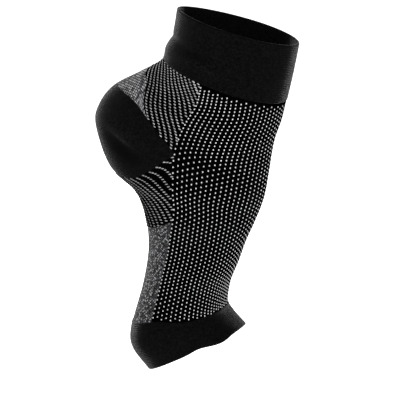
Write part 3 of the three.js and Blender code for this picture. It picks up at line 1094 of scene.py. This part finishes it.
class SLEEVE_OT_achilles_panel(bpy.types.Operator):
    """Knit the grey speckled wedge above the heel"""

    bl_idname = "sleeve.achilles_panel"
    bl_label = "Achilles panel"

    def execute(self, context):
        top = seam_places("achilles_top", BACK_COLUMNS)
        bottom = seam_places("heel_back", BACK_COLUMNS)
        cut = ACHILLES_TIP_CUT * BACK_COLUMNS
        top[0] += (top[1] - top[0]) * cut
        bottom[0] += (bottom[1] - bottom[0]) * cut
        places = back_zone(top, bottom, np.linspace(top[0], bottom[0], ACHILLES_ROWS + 1))
        knit_plain_zone(context.scene, "achilles_panel", places, space_dyed_nylon_knit)
        return {"FINISHED"}


class SLEEVE_OT_arch_panel(bpy.types.Operator):
    """Knit the grey speckled strip along the sole side"""

    bl_idname = "sleeve.arch_panel"
    bl_label = "Arch panel"

    def execute(self, context):
        columns = SHOULDER_COLUMNS + BACK_COLUMNS
        top = seam_places("arch_top", columns)
        bottom = seam_places("band_edge", columns)
        places = back_zone(top, bottom, seam_places("lower_side", ARCH_ROWS))
        knit_plain_zone(context.scene, "arch_panel", places, black_and_space_dyed_knit)
        return {"FINISHED"}


class SLEEVE_OT_ankle_rib(bpy.types.Operator):
    """Knit the ribbed zone behind the ankle, with its fan of ribs of slanted pale stitches"""

    bl_idname = "sleeve.ankle_rib"
    bl_label = "Ankle rib panel"

    def execute(self, context):
        shoulder = SHOULDER_COLUMNS * RIB_FINENESS
        back = BACK_COLUMNS * RIB_FINENESS
        top = seam_places("cuff_edge", shoulder + back)
        bottom = join_places(seam_places("heel_shoulder", shoulder), seam_places("achilles_top", back))
        places = back_zone(top, bottom, seam_places("upper_side", ANKLE_RIB_ROWS))
        sizes = context.scene.sleeve_sizes
        size = (sizes.ankle_stitch_length, sizes.ankle_stitch_width, sizes.rib_stitch_height)
        knit_ribs(context.scene, "ankle", places, ankle_rib_number(places), size, self.lay)
        return {"FINISHED"}

    def lay(self, places):
        turn = ANKLE_STITCH_TURN + ANKLE_TURN_PER_STATION * (places[:, 1] - CUFF_EDGE)
        # Painted shade: stitches drawn dimmer towards the back line.
        tones = stitch_tones("ankle", len(places)) * (1 - ANKLE_PAINTED_SHADE * backward(places))
        number = ankle_rib_number(places)
        swell = np.ones(len(places))
        for wave in ANKLE_WAVES:
            share = np.exp(-((number - wave["rib"]) / wave["spread"]) ** 2)
            tones = tones * (1 + wave["tone"] * share)
            swell = swell + wave["swell"] * share
        return turn, tones, swell


class SLEEVE_OT_arch_rib(bpy.types.Operator):
    """Knit the ribbed zone from the heel to the arch, with its curving ribs of pale stitches"""

    bl_idname = "sleeve.arch_rib"
    bl_label = "Arch rib panel"

    def execute(self, context):
        columns = (SHOULDER_COLUMNS + BACK_COLUMNS) * RIB_FINENESS
        top = seam_places("heel_bottom", columns)
        bottom = seam_places("arch_top", columns)
        places = back_zone(top, bottom, seam_places("middle_side", ARCH_RIB_ROWS))
        sizes = context.scene.sleeve_sizes
        size = (sizes.arch_stitch_length, sizes.arch_stitch_width, sizes.rib_stitch_height)
        knit_ribs(context.scene, "arch", places, arch_rib_number(places), size, self.lay)
        return {"FINISHED"}

    def lay(self, places):
        away = degrees_from_front(places[:, 0])
        turn = ARCH_STITCH_TURN + ARCH_TURN_PER_DEGREE * (away - ARCH_TURN_FROM)
        # Painted shade: stitches drawn dimmer towards the sole.
        tones = stitch_tones("arch", len(places)) * (1 - SOLE_PAINTED_SHADE * backward(places))
        return turn, tones, np.ones(len(places))


class SLEEVE_OT_instep(bpy.types.Operator):
    """Knit the front and sides, with wales that carry the staggered pale dots"""

    bl_idname = "sleeve.instep"
    bl_label = "Instep panel"

    def execute(self, context):
        sizes = context.scene.sleeve_sizes
        node = "instep_panel"
        places = front_zone(side_places())
        number = wale_number(places)
        wave = np.cos(2 * math.pi * (number - FIRST_WALE)) - WAVE_MIDDLE
        relief = sizes.dot_wale_height / MM * wave * edge_fade(number.shape)
        piece = knit_zone(context.scene, "instep_knit", node, places, relief, black_elastane_ground)
        dots = self.dots(sizes, dot_places(places, number))
        add_stitches(context.scene, dots)
        return {"FINISHED"}

    def dots(self, sizes, places):
        along = unit(along_tube(places[:, 1], places[:, 0]))
        tones = stitch_tones("dots", len(places))
        shrink = np.interp(places[:, 1], SHRINK_STATIONS, SHRINK)
        size = np.array((sizes.dot_length, sizes.dot_width, sizes.dot_height)) / MM * shrink[:, None]
        return stitch_piece("instep_dots", places, along, 0.0, size, tones, TONES["dots"]["tail_fade"])


# Stage

# The camera's lens and sensor are in millimetres, and all that it reaches and the lamps' places in metres.
CAMERA_AZIMUTH = math.radians(15)
CAMERA_ELEVATION = math.radians(9)
CAMERA_TARGET = Vector((-25.3, 0.0, -114.8)) * MM
CAMERA_LENS = 300
CAMERA_SENSOR = 36
CAMERA_REACH = 100
FRAME_WIDTH = 260 * MM
FLOOR_LEVEL = -243 * MM
FLOOR_REACH = 30.0
FLOOR_CORNERS = ((-1, -1), (1, -1), (1, 1), (-1, 1))
WORLD_LIGHT = 0.3
CEILING_LIGHT = 1.0
CEILING_SPREAD = math.radians(120)
CEILING_PLACE = (0, 0, 2)

# Softboxes: where each stands, its side in metres and its power in watts.
SOFTBOX_COLUMNS = ("name", "place", "side", "power")
SOFTBOXES = named_rows(SOFTBOX_COLUMNS, (
    ("front_softbox", (0.35, -1.1, 0.65), 0.8, 11.0),
    ("rim_softbox", (-0.9, 0.75, 0.15), 0.9, 18.0),
))


def aim(thing, place, target):
    """Puts a lamp or camera at a place, looking at a target."""
    thing.location = place
    thing.rotation_mode = "QUATERNION"
    thing.rotation_quaternion = (target - Vector(place)).to_track_quat("-Z", "Y")
    bpy.context.scene.collection.objects.link(thing)


class SLEEVE_OT_stage(bpy.types.Operator):
    """Set the paper floor, the soft studio light and the camera"""

    bl_idname = "sleeve.stage"
    bl_label = "Studio stage"

    def execute(self, context):
        scene = context.scene
        scene.view_settings.view_transform = "Standard"
        self.floor(scene)
        world = bpy.data.worlds.new("studio_white")
        world.use_nodes = True
        background = world.node_tree.nodes["Background"]
        background.inputs["Color"].default_value = rgba(scene.sleeve_colours.paper)
        background.inputs["Strength"].default_value = WORLD_LIGHT
        scene.world = world
        self.lamps()
        self.camera(scene)
        return {"FINISHED"}

    def lamps(self):
        ceiling = bpy.data.lights.new("ceiling_light", "SUN")
        ceiling.energy = CEILING_LIGHT
        ceiling.angle = CEILING_SPREAD
        aim(bpy.data.objects.new("ceiling_light", ceiling), CEILING_PLACE, CAMERA_TARGET)
        for box in SOFTBOXES:
            lamp = bpy.data.lights.new(box["name"], "AREA")
            lamp.size = box["side"]
            lamp.energy = box["power"]
            aim(bpy.data.objects.new(box["name"], lamp), box["place"], CAMERA_TARGET)

    def floor(self, scene):
        mesh = bpy.data.meshes.new("paper_floor")
        corners = [(x * FLOOR_REACH, y * FLOOR_REACH, FLOOR_LEVEL) for x, y in FLOOR_CORNERS]
        mesh.from_pydata(corners, [], [(0, 1, 2, 3)])
        mesh.materials.append(seamless_paper(scene))
        floor = bpy.data.objects.new("paper_floor", mesh)
        scene.collection.objects.link(floor)

    def camera(self, scene):
        data = bpy.data.cameras.new("camera")
        data.lens = CAMERA_LENS
        data.sensor_width = CAMERA_SENSOR
        data.clip_end = CAMERA_REACH
        flat = math.cos(CAMERA_ELEVATION)
        back = Vector((
            math.sin(CAMERA_AZIMUTH) * flat, -math.cos(CAMERA_AZIMUTH) * flat, math.sin(CAMERA_ELEVATION),
        ))
        distance = FRAME_WIDTH * CAMERA_LENS / CAMERA_SENSOR
        camera = bpy.data.objects.new("camera", data)
        aim(camera, CAMERA_TARGET + back * distance, CAMERA_TARGET)
        scene.camera = camera


class SLEEVE_PT_sidebar(bpy.types.Panel):
    """Lists the sleeve's pieces, sizes and colours"""

    bl_label = "Foot compression sleeve"
    bl_idname = "SLEEVE_PT_sidebar"
    bl_space_type = "VIEW_3D"
    bl_region_type = "UI"
    bl_category = "Sleeve"

    def draw(self, context):
        for operator in OPERATORS:
            self.layout.operator(operator.bl_idname)
        for group in (context.scene.sleeve_sizes, context.scene.sleeve_colours):
            box = self.layout.box()
            for name in group.bl_rna.properties.keys():
                if name not in ("rna_type", "name"):
                    box.prop(group, name)


GROUPS = (SleeveSizes, SleeveColours)
OPERATORS = (
    SLEEVE_OT_stage,
    SLEEVE_OT_ankle_cuff,
    SLEEVE_OT_ankle_rib,
    SLEEVE_OT_achilles_panel,
    SLEEVE_OT_heel_pocket,
    SLEEVE_OT_arch_rib,
    SLEEVE_OT_arch_panel,
    SLEEVE_OT_instep,
    SLEEVE_OT_forefoot_band,
)
CLASSES = (*GROUPS, *OPERATORS, SLEEVE_PT_sidebar)


def register():
    for kind in CLASSES:
        bpy.utils.register_class(kind)
    bpy.types.Scene.sleeve_sizes = PointerProperty(type=SleeveSizes)
    bpy.types.Scene.sleeve_colours = PointerProperty(type=SleeveColours)


def unregister():
    del bpy.types.Scene.sleeve_colours
    del bpy.types.Scene.sleeve_sizes
    for kind in reversed(CLASSES):
        bpy.utils.unregister_class(kind)


def main():
    register()
    bpy.ops.sleeve.stage()
    bpy.ops.sleeve.ankle_cuff()
    bpy.ops.sleeve.ankle_rib()
    bpy.ops.sleeve.achilles_panel()
    bpy.ops.sleeve.heel_pocket()
    bpy.ops.sleeve.arch_rib()
    bpy.ops.sleeve.arch_panel()
    bpy.ops.sleeve.instep()
    bpy.ops.sleeve.forefoot_band()


if __name__ == "__main__":
    main()
